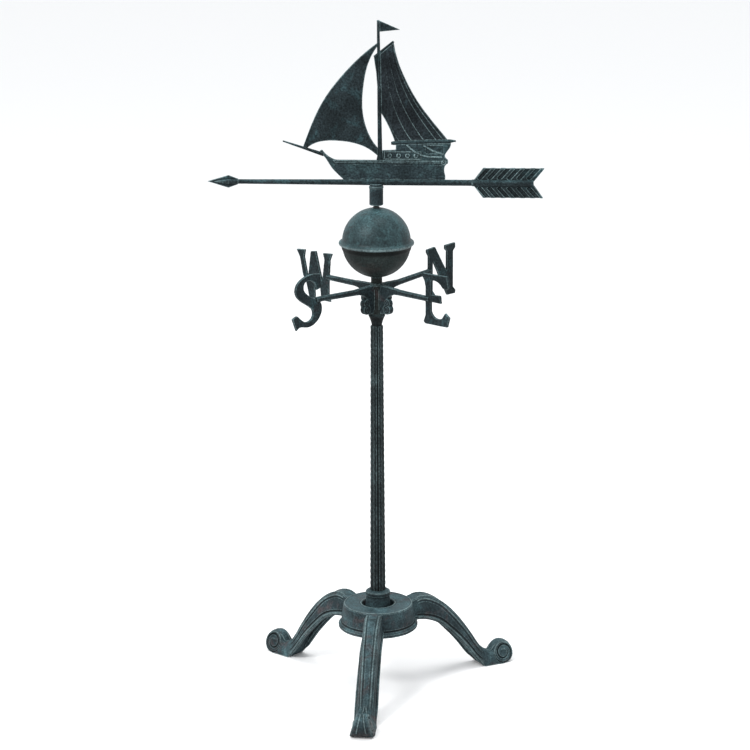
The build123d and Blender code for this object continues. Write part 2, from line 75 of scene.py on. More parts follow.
def value_noise(coords, size, seed):
    """Smooth noise in -1..1 whose lumps are about size across (coords and size in mm)."""
    scaled = coords / size
    cell = np.floor(scaled)
    part = scaled - cell
    part = part * part * (3 - 2 * part)
    total = np.zeros(len(coords))
    for corner in range(8):
        offset = (corner & 1, corner >> 1 & 1, corner >> 2 & 1)
        weight = np.ones(len(coords))
        for axis in range(3):
            weight *= part[:, axis] if offset[axis] else 1 - part[:, axis]
        total += weight * lattice(cell, offset, seed)
    return total


def casting(coords, rough, seed):
    """Height in mm of the soft lumps and fine grain of a sand casting."""
    return rough * (value_noise(coords, 7, seed) * 0.6 + value_noise(coords, 3, seed + 1) * 0.3
                    + value_noise(coords, 1.3, seed + 2) * 0.2)


def bump_line(distance, half):
    """Rounded ridge of height 1 where distance is within half of 0."""
    return np.sqrt(np.clip(1 - (distance / half) ** 2, 0, 1))


def soft_step(value, low, high):
    part = np.clip((value - low) / (high - low), 0, 1)
    return part * part * (3 - 2 * part)


def path_distance(x, z, points):
    """Distance in the XZ plane from each (x, z) to a polyline."""
    best = np.full(len(x), 1e9)
    for (x0, z0), (x1, z1) in zip(points, points[1:]):
        run, rise = x1 - x0, z1 - z0
        along = np.clip(((x - x0) * run + (z - z0) * rise) / (run * run + rise * rise), 0, 1)
        best = np.minimum(best, np.hypot(x - x0 - along * run, z - z0 - along * rise))
    return best


def curve_points(controls, count=24):
    """Points on a smooth line through the controls (Catmull-Rom)."""
    padded = [controls[0], *controls, controls[-1]]
    out = []
    for a, b, c, d in zip(padded, padded[1:], padded[2:], padded[3:]):
        for step in range(count):
            t = step / count
            out.append(tuple(
                0.5 * (2 * b[i] + (c[i] - a[i]) * t + (2 * a[i] - 5 * b[i] + 4 * c[i] - d[i]) * t ** 2
                       + (3 * b[i] - a[i] - 3 * c[i] + d[i]) * t ** 3) for i in range(len(b))))
    out.append(tuple(controls[-1]))
    return out


# ---- mesh helpers -------------------------------------------------------------------------
def new_object(name, mesh):
    obj = bpy.data.objects.new(name, mesh)
    bpy.context.scene.collection.objects.link(obj)
    return obj


def get_coords(mesh):
    flat = np.empty(len(mesh.vertices) * 3)
    mesh.vertices.foreach_get("co", flat)
    return flat.reshape(-1, 3) / MM


def get_normals(mesh):
    flat = np.empty(len(mesh.vertices) * 3, dtype=np.float32)
    mesh.vertices.foreach_get("normal", flat)
    return flat.reshape(-1, 3).astype(float)


def set_coords(mesh, coords):
    mesh.vertices.foreach_set("co", (coords * MM).reshape(-1).astype(np.float32))
    mesh.update()


def store_wear_and_painted_light(mesh, coords, roundness=0.0, painted_light=0.0):
    """Vertex attribute of how convex (+) or hollow (-) the surface is beyond its roundness: edge wear where
    convex, painted shade where hollow, plus any painted highlight or shadow passed in.
    """
    normals = get_normals(mesh)
    pairs = np.empty(len(mesh.edges) * 2, dtype=np.int32)
    mesh.edges.foreach_get("vertices", pairs)
    a, b = pairs.reshape(-1, 2).T
    gap = coords[b] - coords[a]
    length2 = np.maximum((gap ** 2).sum(1), 1e-6)
    count = len(coords)
    degree = np.maximum(np.bincount(a, minlength=count) + np.bincount(b, minlength=count), 1)

    at_a = -(gap * normals[a]).sum(1) / length2
    at_b = (gap * normals[b]).sum(1) / length2
    bend = (np.bincount(a, at_a, count) + np.bincount(b, at_b, count)) / degree
    bend -= roundness
    wear_and_painted_light = soft_step(bend, 0.02, 0.13) - soft_step(-bend, 0.015, 0.13) + painted_light
    layer = mesh.attributes.new("wear_and_painted_light", "FLOAT", "POINT")
    layer.data.foreach_set("value", np.clip(wear_and_painted_light, -1, 1).astype(np.float32))


def shade_smooth(mesh):
    mesh.polygons.foreach_set("use_smooth", [True] * len(mesh.polygons))


def cad_copy(node, turn=0.0):
    """Merged copy of a CAD node's mesh, turned about Z by turn degrees."""
    mesh = NODES[node].data.copy()
    mesh.transform(Matrix.Rotation(math.radians(turn), 4, "Z"))
    work = bmesh.new()
    work.from_mesh(mesh)
    bmesh.ops.remove_doubles(work, verts=work.verts, dist=1e-6)
    work.to_mesh(mesh)
    work.free()
    mesh.materials.clear()
    return mesh


def evaluated(obj):
    """Mesh of obj with its modifiers applied; obj is removed."""
    graph = bpy.context.evaluated_depsgraph_get()
    mesh = bpy.data.meshes.new_from_object(obj.evaluated_get(graph))
    bpy.data.objects.remove(obj)
    return mesh


def cast_mesh(name, source, voxel, smooth):
    """Even, closed mesh of a CAD mesh with softly rounded edges."""
    obj = new_object(name + "_work", source)
    remesh = obj.modifiers.new("even", "REMESH")
    remesh.mode = "VOXEL"
    remesh.voxel_size = voxel * MM
    soften = obj.modifiers.new("soften", "SMOOTH")
    soften.factor = 0.5
    soften.iterations = smooth
    mesh = evaluated(obj)
    mesh.name = name
    return mesh


def grid_mesh(name, rows):
    """Closed tube from equal rings of (x, y, z) points in mm."""
    count = len(rows[0])
    verts = [point for row in rows for point in row]
    faces = []
    for r in range(len(rows) - 1):
        for c in range(count):
            d = (c + 1) % count
            faces.append((r * count + c, r * count + d, (r + 1) * count + d, (r + 1) * count + c))
    faces.append(tuple(reversed(range(count))))
    faces.append(tuple(range((len(rows) - 1) * count, len(rows) * count)))
    mesh = bpy.data.meshes.new(name)
    mesh.from_pydata([Vector(v) * MM for v in verts], [], faces)
    mesh.update()
    return mesh


def turned_mesh(name, profile, segments):
    """Solid of revolution about Z from a closed loop of (radius, height) in mm."""
    angles = [2 * math.pi * k / segments for k in range(segments)]
    count = len(profile)
    verts = [Vector((r * math.cos(a), r * math.sin(a), z)) * MM for a in angles for r, z in profile]
    faces = []
    for s in range(segments):
        t = (s + 1) % segments
        for p in range(count):
            q = (p + 1) % count
            faces.append((s * count + p, t * count + p, t * count + q, s * count + q))
    mesh = bpy.data.meshes.new(name)
    mesh.from_pydata(verts, [], faces)
    work = bmesh.new()
    work.from_mesh(mesh)
    bmesh.ops.recalc_face_normals(work, faces=work.faces)
    work.to_mesh(mesh)
    work.free()
    mesh.update()
    return mesh


def relax(mesh, coords, weight, times):
    """Coordinates moved towards the mean of their neighbours, as far as weight (0 to 1) allows."""
    pairs = np.empty(len(mesh.edges) * 2, dtype=np.int32)
    mesh.edges.foreach_get("vertices", pairs)
    a, b = pairs.reshape(-1, 2).T
    count = len(coords)
    degree = np.maximum(np.bincount(a, minlength=count) + np.bincount(b, minlength=count), 1)
    for _ in range(times):
        mean = np.stack([np.bincount(a, coords[b, axis], count) + np.bincount(b, coords[a, axis], count)
                         for axis in range(3)], axis=1) / degree[:, None]
        coords = coords + (mean - coords) * (0.6 * weight)[:, None]
    return coords


def finish_piece(name, mesh, body, nodes, material):
    """Object that stands for the CAD nodes, rides on their body and wears the material."""
    shade_smooth(mesh)
    mesh.materials.clear()
    mesh.materials.append(material)
    obj = new_object(name, mesh)
    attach(obj, body)
    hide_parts(*nodes)


# ---- materials ----------------------------------------------------------------------------
class Nodes:
    """Short way to wire a node material."""

    def __init__(self, name):
        self.material = bpy.data.materials.new(name)
        self.material.use_nodes = True
        self.tree = self.material.node_tree
        self.tree.nodes.clear()

    def add(self, kind, inputs=None, **settings):
        node = self.tree.nodes.new(kind)
        for key, value in settings.items():
            setattr(node, key, value)
        for key, value in (inputs or {}).items():
            if isinstance(value, bpy.types.NodeSocket):
                self.tree.links.new(value, node.inputs[key])
            else:
                node.inputs[key].default_value = value
        return node

    def math(self, operation, a, b):
        return self.add("ShaderNodeMath", {0: a, 1: b}, operation=operation).outputs[0]

    def ramp(self, value, low, high, out_low=0.0, out_high=1.0):
        node = self.add("ShaderNodeMapRange", {"Value": value, "From Min": low, "From Max": high,
                                               "To Min": out_low, "To Max": out_high}, clamp=True)
        return node.outputs[0]

    def noise(self, coords, size_mm, detail=3.0, rough=0.55, distortion=0.0):
        node = self.add("ShaderNodeTexNoise", {
            "Vector": coords, "Scale": 1000 / size_mm, "Detail": detail, "Roughness": rough,
            "Distortion": distortion})
        return node.outputs["Fac"]

    def mix(self, amount, a, b, blend="MIX"):
        node = self.add("ShaderNodeMix", data_type="RGBA", blend_type=blend)
        for index, value in ((0, amount), (6, a), (7, b)):
            if isinstance(value, bpy.types.NodeSocket):
                self.tree.links.new(value, node.inputs[index])
            elif index == 0:
                node.inputs[0].default_value = value
            else:
                node.inputs[index].default_value = (*value, 1.0)
        return node.outputs[2]


EDGE = (0.095, 0.135, 0.140)
PALE_GAIN = 2.4
SHIFT = (3.1, 1.7, 5.3)
PIT_SIZE = 3.2
SCRATCH_STRETCH = (1, 1, 30)


def patina(name, base, teal, brown, teal_share=0.5, brown_share=0.35, top_light=0.5, edge=0.6, grain=1.0,
           rough=0.5, speck_low=0.45, speck_high=1.8, specular=0.06):
    """Dark cast metal with verdigris: mottled colour, upper faces paled by dust and painted light, worn
    edges, painted shade in hollows, speckle and pits.
    """
    n = Nodes(name)
    coords = n.add("ShaderNodeTexCoord").outputs["Object"]
    geometry = n.add("ShaderNodeNewGeometry")
    normal_z = n.add("ShaderNodeSeparateXYZ", {0: geometry.outputs["Normal"]}).outputs[2]
    wear_and_painted_light = n.add("ShaderNodeAttribute", attribute_name="wear_and_painted_light").outputs["Fac"]
    large = n.noise(coords, 70, 4, 0.6, 0.4)
    patches = n.noise(coords, 22, 5, 0.65, 0.6)
    shifted = n.add("ShaderNodeMapping", {0: coords, 1: SHIFT}).outputs[0]
    rust = n.noise(shifted, 38, 5, 0.62, 0.8)
    speckle = n.noise(coords, 3.2, 3, 0.7)
    fine = n.noise(coords, 0.9, 2, 0.5)
    pits = n.add("ShaderNodeTexVoronoi", {
        "Vector": coords, "Scale": 1000 / PIT_SIZE, "Randomness": 1.0}).outputs[0]

    teal_mask = n.ramp(n.math("ADD", n.math("MULTIPLY", large, 0.5), n.math("MULTIPLY", patches, 0.5)),
                       0.62 - 0.22 * teal_share, 0.74 - 0.22 * teal_share)
    colour = n.mix(teal_mask, base, teal)
    pale = tuple(channel * PALE_GAIN for channel in teal)
    # upper faces paled: partly verdigris dust, partly painted light falling from above
    dust_and_painted_top_light = n.math("MULTIPLY", n.ramp(normal_z, 0.05, 0.95, 0, top_light),
                      n.ramp(patches, 0.3, 0.65, 0.45, 1))
    colour = n.mix(dust_and_painted_top_light, colour, pale)
    brown_mask = n.ramp(rust, 0.68 - 0.2 * brown_share, 0.8 - 0.2 * brown_share, 0, 0.8)
    colour = n.mix(brown_mask, colour, brown)
    # lightens worn edges; on the ball it also lays the painted highlight along the rim bead
    edge_mask = n.math("MULTIPLY", n.ramp(wear_and_painted_light, 0.15, 0.85, 0, edge), n.ramp(patches, 0.35, 0.6, 0.6, 1))
    colour = n.mix(edge_mask, colour, EDGE)
    # painted shade: hollows in the surface are darkened
    painted_hollow_shade = n.ramp(wear_and_painted_light, -0.8, -0.05, 0.3, 1)
    speck = n.ramp(speckle, 0.36, 0.64, speck_low, speck_high)
    cloud = n.ramp(n.noise(shifted, 45, 3, 0.5, 0.3), 0.36, 0.64, 0.72, 1.32)
    shade = n.math("MULTIPLY", n.math("MULTIPLY", painted_hollow_shade, speck), cloud)
    grey = n.add("ShaderNodeCombineColor", {0: shade, 1: shade, 2: shade}).outputs[0]
    colour = n.mix(1.0, colour, grey, "MULTIPLY")

    roughness = n.ramp(n.math("ADD", n.math("MULTIPLY", patches, 0.7), n.math("MULTIPLY", speckle, 0.3)),
                       0.3, 0.7, rough - 0.1, rough + 0.16)
    height = n.math("ADD", n.math("MULTIPLY", speckle, 0.6), n.math("MULTIPLY", fine, 0.35))
    height = n.math("ADD", height, n.math("MULTIPLY", n.ramp(pits, 0, 0.45), 0.25))
    bump = n.add("ShaderNodeBump", {"Height": height, "Strength": 0.55 * grain, "Distance": 0.0005})
    shader = n.add("ShaderNodeBsdfPrincipled", {
        "Base Color": colour, "Roughness": roughness, "Normal": bump.outputs[0]})
    shader.inputs["Metallic"].default_value = 0.0
    shader.inputs["Specular IOR Level"].default_value = specular
    n.add("ShaderNodeOutputMaterial", {"Surface": shader.outputs[0]})
    return n.material


def machined(name, colour, rough):
    """Dull turned or drawn metal with fine scratches across its length, and stains."""
    n = Nodes(name)
    coords = n.add("ShaderNodeTexCoord").outputs["Object"]
    stretched = n.add("ShaderNodeMapping", {0: coords, 3: SCRATCH_STRETCH}).outputs[0]
    lines = n.noise(stretched, 1.2, 3)
    stain = n.noise(coords, 9, 4)
    dark = tuple(channel * 0.45 for channel in colour)
    tint = n.mix(n.ramp(stain, 0.42, 0.62), colour, dark)
    bump = n.add("ShaderNodeBump", {"Height": lines, "Strength": 0.3, "Distance": 0.0002})
    shader = n.add("ShaderNodeBsdfPrincipled", {
        "Base Color": tint, "Roughness": n.ramp(lines, 0.3, 0.7, rough - 0.08, rough + 0.1),
        "Normal": bump.outputs[0]})
    shader.inputs["Metallic"].default_value = 0.9
    n.add("ShaderNodeOutputMaterial", {"Surface": shader.outputs[0]})
    return n.material


DARK = (0.0105, 0.0160, 0.0180)
TEAL = (0.020, 0.041, 0.046)
BROWN = (0.022, 0.017, 0.018)
stand_patina = patina("stand_patina", (0.016, 0.026, 0.030), (0.030, 0.054, 0.060), (0.048, 0.038, 0.040),
                      0.55, 0.7, 0.45, 1.0, speck_low=0.6, speck_high=1.5, specular=0.08)
post_patina = patina("post_patina", (0.011, 0.015, 0.016), (0.022, 0.034, 0.036), BROWN, 0.4, 0.5, 0.3, 0.5)
dome_patina = patina("dome_patina", (0.014, 0.025, 0.028), (0.028, 0.058, 0.063), (0.030, 0.026, 0.027),
                     0.55, 0.4, 0.4, 1.0, 0.6, 0.42, 0.6, 1.45, 0.14)
bowl_patina = patina("bowl_patina", (0.0115, 0.0160, 0.0155), (0.016, 0.029, 0.029), (0.0175, 0.0170, 0.0160),
                     0.4, 0.45, 0.35, 1.0, 0.6, 0.5, 0.55, 1.45, 0.06)
joint_patina = patina("joint_patina", (0.0080, 0.0100, 0.0095), (0.015, 0.026, 0.026), (0.016, 0.012, 0.012),
                      0.4, 0.6, 0.4, 0.45)
compass_patina = patina("compass_patina", DARK, TEAL, BROWN, 0.35, 0.4, 0.5, 0.5)
vane_patina = patina("vane_patina", DARK, TEAL, (0.014, 0.012, 0.014), 0.45, 0.3, 0.5, 0.8)
mainsail_patina = patina("mainsail_patina", (0.009, 0.0125, 0.0145), (0.015, 0.027, 0.031), BROWN,
                         0.35, 0.3, 0.5, 0.8)
hull_patina = patina("hull_patina", (0.013, 0.021, 0.024), (0.026, 0.048, 0.052), BROWN, 0.55, 0.3, 0.5, 1.0)
steel = machined("dull_steel", (0.05, 0.055, 0.055), 0.5)
brass = machined("plain_brass", (0.42, 0.30, 0.13), 0.35)

for node in ("leg_bolts", "centre_rod", "rod_washer", "rod_nut", "ball_nut", "hub_set_screw", "thrust_ball"):
    NODES[node].data.materials.clear()
    NODES[node].data.materials.append(steel)
NODES["pivot_bush"].data.materials.clear()
NODES["pivot_bush"].data.materials.append(brass)


# ---- camera, light, floor ------------------------------------------------------------------
CAMERA_LENS = 129.45
CAMERA_PLACE = (0.2530, -4.6632, 1.8493)
CAMERA_YAW = math.radians(3.15)
CAMERA_PITCH = math.radians(15.1)
CAMERA_ROLL = math.radians(-0.256)
SKY_COLOUR = (0.97, 0.985, 1.0, 1)
SKY_STRENGTH = 1.05
FLOOR_HALF = 40

camera_data = bpy.data.cameras.new("camera")
camera_data.lens = CAMERA_LENS
camera_data.sensor_width = 36.0
camera_data.clip_end = 100.0
camera = bpy.data.objects.new("camera", camera_data)
bpy.context.scene.collection.objects.link(camera)
camera.matrix_world = (Matrix.Translation(CAMERA_PLACE) @ Matrix.Rotation(CAMERA_YAW, 4, "Z")
                       @ Matrix.Rotation(math.pi / 2 - CAMERA_PITCH, 4, "X")
                       @ Matrix.Rotation(CAMERA_ROLL, 4, "Z"))
bpy.context.scene.camera = camera
bpy.context.scene.view_settings.view_transform = "Standard"
bpy.context.scene.view_settings.look = "None"

world = bpy.data.worlds.new("studio")
world.use_nodes = True
world.node_tree.nodes["Background"].inputs[0].default_value = SKY_COLOUR
world.node_tree.nodes["Background"].inputs[1].default_value = SKY_STRENGTH
bpy.context.scene.world = world


def area_light(name, place, aim, size, power):
    data = bpy.data.lights.new(name, "AREA")
    data.shape = "DISK"
    data.size = size
    data.energy = power
    lamp = bpy.data.objects.new(name, data)
    bpy.context.scene.collection.objects.link(lamp)
    lamp.location = place
    lamp.rotation_euler = (Vector(aim) - Vector(place)).to_track_quat("-Z", "Y").to_euler()


area_light("key", (-2.2, -2.4, 3.6), (0, 0, 0.7), 1.3, 130)
area_light("top", (0.4, 0.3, 4.2), (0, 0, 0.5), 2.2, 60)

floor_mesh = bpy.data.meshes.new("floor")
floor_corners = [(FLOOR_HALF * x, FLOOR_HALF * y, 0) for x, y in ((-1, -1), (1, -1), (1, 1), (-1, 1))]
floor_mesh.from_pydata(floor_corners, [], [(0, 1, 2, 3)])
floor = new_object("floor", floor_mesh)
paper = Nodes("pale_floor")
paper_shader = paper.add("ShaderNodeBsdfPrincipled", {"Base Color": (0.9, 0.9, 0.9, 1), "Roughness": 0.9})
paper.add("ShaderNodeOutputMaterial", {"Surface": paper_shader.outputs[0]})
floor_mesh.materials.append(paper.material)


# ---- stand ---------------------------------------------------------------------------------
LEGS = {"leg_front": -93.3, "leg_right": 29.75, "leg_left": 140.6}
SCROLL_X, SCROLL_R = 256.0, 20.5
SCROLL_PITCH, SCROLL_CUT = 8.5, 2.4
LEG_HALF_AT = ((60, 236), (12.5, 9.0))
TOE_FROM, TOE_FULL = 192, 206
LEG_TOP_LINE = [(62, 154), (85, 159.5), (108, 153), (136, 133.5), (177, 86), (199, 54), (215, 34), (232, 24)]
LEG_LOW_LINE = [(62, 116.5), (86, 115), (117, 102.5), (147, 75.5), (170, 50), (194, 19), (212, 0)]


def leg_lines(x, y, z, normals):
    """Raised lines along the leg: two beside its flat top and one at each edge of its sides."""
    top, low = (np.array(curve_points(line, 8)) for line in (LEG_TOP_LINE, LEG_LOW_LINE))
    top_z = np.interp(x, top[:, 0], top[:, 1])
    low_z = np.interp(x, low[:, 0], low[:, 1])
    top_lean = np.cos(np.arctan(np.interp(x, top[:, 0], np.gradient(top[:, 1], top[:, 0]))))
    low_lean = np.cos(np.arctan(np.interp(x, low[:, 0], np.gradient(low[:, 1], low[:, 0]))))
    along = soft_step(x, 72, 76) * (1 - soft_step(x, 205, 218))
    ridge = np.interp(x, *LEG_HALF_AT)
    flat = soft_step(normals[:, 2] + 0.5 * normals[:, 0], 0.35, 0.6)
    out = flat * (0.9 * bump_line(np.abs(y) - ridge + 1, 1.5) - 0.5 * bump_line(np.abs(y) - ridge + 4, 1.6))
    side = soft_step(np.abs(normals[:, 1]), 0.55, 0.8)
    below_top = (top_z - z) * top_lean
    above_low = (z - low_z) * low_lean
    out += side * (0.8 * bump_line(below_top - 5, 1.6) - 0.6 * bump_line(below_top - 8.5, 1.8))
    out += side * (0.8 * bump_line(above_low - 5, 1.8) - 1.1 * bump_line(above_low - 9.5, 1.8))
    return out * along


def leg_relief(coords, normals):
    """Height of the leg's relief: lines, a spiral and ribs on the scroll, a fan at the toe and a groove."""
    x, y, z = coords.T
    out = leg_lines(x, y, z, normals)
    reach = np.hypot(x - SCROLL_X, z - SCROLL_R)
    turn = np.arctan2(z - SCROLL_R, -(x - SCROLL_X)) / (2 * np.pi)
    phase = (reach / SCROLL_PITCH - turn + 0.1) % 1.0
    side = soft_step(np.abs(normals[:, 1]), 0.55, 0.85) * (reach < SCROLL_R - 1) * (x > SCROLL_X - 24)
    groove = bump_line(phase - 0.5, 0.2)
    out -= SCROLL_CUT * groove * side * soft_step(reach, 7, 9)
    out += 0.7 * bump_line(reach - SCROLL_R + 1.8, 1.8) * side
    face = soft_step(normals[:, 0] + 0.6 * normals[:, 2], 0.5, 0.8) * (x > SCROLL_X - 8)
    spread = np.abs(y) - (3 + (2 * SCROLL_R - z) * 0.2)
    out += 0.9 * bump_line(spread, 1.6) * face
    fan = soft_step(x, 206, 214) * (1 - soft_step(x, 238, 246)) * (normals[:, 2] > 0.2)
    out += 1.0 * bump_line(np.abs(y) - (x - 204) * 0.2, 1.6) * fan
    panel = (normals[:, 2] > 0.3) * (np.abs(y) < 9)
    out -= 0.8 * bump_line(x - 92, 1.2) * panel
    return out


leg_source = cast_mesh("leg_source", cad_copy("leg_front", -LEGS["leg_front"]), 0.95, 3)
leg_coords = get_coords(leg_source)
leg_x = leg_coords[:, 0]
toe = soft_step(leg_x, TOE_FROM, TOE_FULL) * (0.25 + 0.75 * (1 - soft_step(leg_x, 236, 250)))
leg_coords = relax(leg_source, leg_coords, toe, 60)
set_coords(leg_source, leg_coords)
leg_normals = get_normals(leg_source)
leg_coords = leg_coords + leg_normals * leg_relief(leg_coords, leg_normals)[:, None]
set_coords(leg_source, leg_coords)
store_wear_and_painted_light(leg_source, leg_coords)
leg_coords += leg_normals * casting(leg_coords, 0.2, 11)[:, None]
leg_coords[:, 2] = np.maximum(leg_coords[:, 2], 0)
set_coords(leg_source, leg_coords)
for node, azimuth in LEGS.items():
    mesh = leg_source.copy()
    mesh.transform(Matrix.Rotation(math.radians(azimuth), 4, "Z"))
    finish_piece(node + "_cast", mesh, "stand", [node], stand_patina)


# heights between which the compass turns and the neck stands, and the compass's bore
COMPASS_RUN = (702.05, 756.95)
NECK_RUN = (757.0, 800.0)
RUN_REACH = 16.0
RUN_BORE = 4.06


def trim_running_faces(coords, run):
    """Flatten the casting skin near the axis, so that turning parts clear what they run on."""
    reach = np.hypot(coords[:, 0], coords[:, 1])
    near = reach < RUN_REACH
    coords[near, 2] = np.clip(coords[near, 2], *run)
    coords[:, :2] *= np.maximum(RUN_BORE / np.maximum(reach, 1e-6), 1.0)[:, None]


def plain_cast(node, body, voxel, smooth, rough, material, relief=None, seed=1, roundness=0.0, run=None):
    """Cast look for one CAD node: even mesh, soft edges, its relief and a casting skin."""
    mesh = cast_mesh(node + "_cast", cad_copy(node), voxel, smooth)
    coords, normals = get_coords(mesh), get_normals(mesh)
    if relief:
        coords = coords + normals * relief(coords, normals)[:, None]
        set_coords(mesh, coords)
    store_wear_and_painted_light(mesh, coords, roundness)
    coords = coords + normals * casting(coords, rough, seed)[:, None]
    if run:
        trim_running_faces(coords, run)
    set_coords(mesh, coords)
    finish_piece(node + "_cast", mesh, body, [node], material)


def base_relief(coords, normals):
    """Fine rings: at the rim and well mouth on top, and a bead with a quirk above it round the side."""
    reach, z = np.hypot(coords[:, 0], coords[:, 1]), coords[:, 2]
    top = soft_step(normals[:, 2], 0.6, 0.9) * (z > 150)
    side = (1 - np.abs(normals[:, 2])) * (reach > 60)
    out = top * (0.6 * bump_line(reach - 61.4, 1.4) + 0.7 * bump_line(reach - 31.6, 1.5))
    return out + side * (0.9 * bump_line(z - 119.5, 2.2) - 1.2 * bump_line(z - 123.5, 1.8))


plain_cast("base_hub", "stand", 0.95, 3, 0.2, stand_patina, base_relief, 21)
plain_cast("post_collar", "stand", 0.8, 3, 0.16, stand_patina, seed=25)
plain_cast("neck_spacer", "stand", 0.6, 3, 0.1, joint_patina, seed=27, run=NECK_RUN)

COLLAR_TOP, POST_TOP = 183.0, 702.0
RIB_START, RIB_PITCH = 7.0, 11.5
CORNER_FOOT, CORNER_HEAD = 13.0, 10.5
RIB_HALF_FOOT, RIB_HALF_HEAD = 2.9, 2.3
CAP_FOOT, RIB_END = 676, 684
CAP_Z = [676, 684, 690, 694, 698, 699, 700.5, 701.6, 702]
CAP_R = [9.0, 9.3, 11.0, 12.4, 14.2, 14.9, 15.0, 14.6, 13.8]


def post_mesh():
    """Hexagonal post with a rope-moulded rib on each corner and a flared capital."""
    around = 216
    angles = np.arange(around) / around * 2 * np.pi
    turn = (np.degrees(angles) - RIB_START + 30) % 60 - 30
    heights = np.concatenate([[COLLAR_TOP - 6], np.arange(COLLAR_TOP - 2, 680, 1.25),
                              np.arange(680, POST_TOP - 0.4, 0.9), [POST_TOP - 0.4, POST_TOP]])
    rows = []
    for z in heights:
        part = np.clip((z - COLLAR_TOP) / (RIB_END - COLLAR_TOP), 0, 1)
        corner = CORNER_FOOT + (CORNER_HEAD - CORNER_FOOT) * part
        flat = corner * np.cos(np.radians(30)) / np.cos(np.radians(30 - np.abs(turn)))
        body = 0.6 * flat + 0.4 * np.minimum(flat, corner * 0.93)
        half = RIB_HALF_FOOT + (RIB_HALF_HEAD - RIB_HALF_FOOT) * part
        across = corner * np.radians(turn)
        strand = np.cos(2 * np.pi * (z / RIB_PITCH + across / (2.2 * half)))
        rise = (1.7 - 0.5 * part) * bump_line(across, half) * (0.84 + 0.16 * strand)
        bead = 0.6 * bump_line(np.abs(across) - half - 1.1, 0.8)
        fade = 1 - soft_step(z, 680, 688)
        radius = body + (rise + bead) * fade
        cap = np.interp(z, CAP_Z, CAP_R)
        if z > CAP_FOOT:
            radius = np.maximum(radius * fade, cap)
        rows.append([(r * math.cos(a), r * math.sin(a), z) for r, a in zip(radius, angles)])
    mesh = grid_mesh("post_cast", rows)
    coords, normals = get_coords(mesh), get_normals(mesh)
    store_wear_and_painted_light(mesh, coords, 0.1)
    inside = (coords[:, 2] > COLLAR_TOP - 3) * (coords[:, 2] < POST_TOP - 1)
    set_coords(mesh, coords + normals * (casting(coords, 0.16, 31) * inside)[:, None])
    return mesh


finish_piece("post_cast", post_mesh(), "stand", ["post"], post_patina)

SEAM = 829.0
BALL_R, BALL_SKIN = 61.0, 2
BALL_LOW_CENTRE, BALL_HIGH_CENTRE = 831.0, 834.0
RIM_R = 67
# rim outlines as (radius, rise from the seam)
RIM_ABOVE = [(60.75, 11.2), (61, 10), (61.6, 8.6), (62.7, 7.2), (64, 6.2), (65.5, 5.4), (66.6, 4.3),
             (RIM_R, 3.1), (66.95, 1.9), (66.5, 0.9), (65.6, 0.2), (62, 0.15)]
RIM_BELOW = [(60, -10.2), (60.7, -9.2), (61.3, -7.8), (61.9, -5.4), (62.3, -3.4), (63, -2), (64, -1),
             (65, -0.4), (65, -0.1), (62, -0.1)]


def ball_profile(centre, upward):
    """Closed (radius, height) loop of half the ball's skin with its rounded rim."""
    sign = 1 if upward else -1
    rim = RIM_ABOVE if upward else RIM_BELOW
    inside = BALL_R - BALL_SKIN
    outer = [(BALL_R * math.cos(a), centre + sign * BALL_R * math.sin(a))
             for a in np.linspace(math.radians(85.5), math.radians(6.5 if upward else 12.5), 44)]
    inner = [(inside * math.cos(a), centre + sign * inside * math.sin(a))
             for a in np.linspace(math.radians(2 if upward else 3.5), math.radians(85.3), 40)]
    return outer + [(radius, SEAM + rise) for radius, rise in rim] + inner


for node, centre, upward, skin in (("ball_lower_shell", BALL_LOW_CENTRE, False, bowl_patina),
                                   ("ball_upper_shell", BALL_HIGH_CENTRE, True, dome_patina)):
    mesh = turned_mesh(node + "_spun", ball_profile(centre, upward), 192)
    coords, normals = get_coords(mesh), get_normals(mesh)
    reach = np.hypot(coords[:, 0], coords[:, 1])
    # painted highlight: a light line along the rim bead; painted shadow: a dark band just under the rim
    line = bump_line(np.hypot(reach - RIM_R, coords[:, 2] - SEAM - 2.2), 1.9)
    painted_rim_shadow = bump_line(np.hypot(reach - 61.8, coords[:, 2] - SEAM + 5.5), 5)
    store_wear_and_painted_light(mesh, coords, 0.02, 0.9 * line - 0.9 * painted_rim_shadow)
    outside = np.hypot(reach, coords[:, 2] - centre) > BALL_R - 1
    dents = 0.16 * value_noise(coords, 16, 41) + 0.05 * value_noise(coords, 5, 42)
    set_coords(mesh, coords + normals * (dents * outside)[:, None])
    finish_piece(node + "_spun", mesh, "stand", [node], skin)


# ---- compass letters -----------------------------------------------------------------------
NORTH = 49.15
# (x, z, radius) of the two lobes on each arm's bracket
ARM_LOBES = ((28.5, 727, 7), (28, 715, 9))


def arm_relief(azimuth):
    """Round grooves on the two lobes of an arm's bracket; coordinates are turned back to +X."""
    back = math.radians(-azimuth)
    ahead = math.radians(azimuth)

    def relief(coords, normals):
        x = coords[:, 0] * math.cos(back) - coords[:, 1] * math.sin(back)
        side = np.abs(-normals[:, 0] * math.sin(ahead) + normals[:, 1] * math.cos(ahead))
        flat = soft_step(side, 0.6, 0.9)
        out = np.zeros(len(coords))
        for lobe_x, lobe_z, size in ARM_LOBES:
            reach = np.hypot(x - lobe_x, coords[:, 2] - lobe_z)
            out -= 0.8 * bump_line(reach - size * 0.62, 1.1) * flat
        return out
    return relief


for node, azimuth in (("arm_north", NORTH), ("arm_east", NORTH - 90), ("arm_south", NORTH - 180),
                      ("arm_west", NORTH + 90)):
    plain_cast(node, "compass", 0.75, 4, 0.14, compass_patina, arm_relief(azimuth), seed=51, run=COMPASS_RUN)


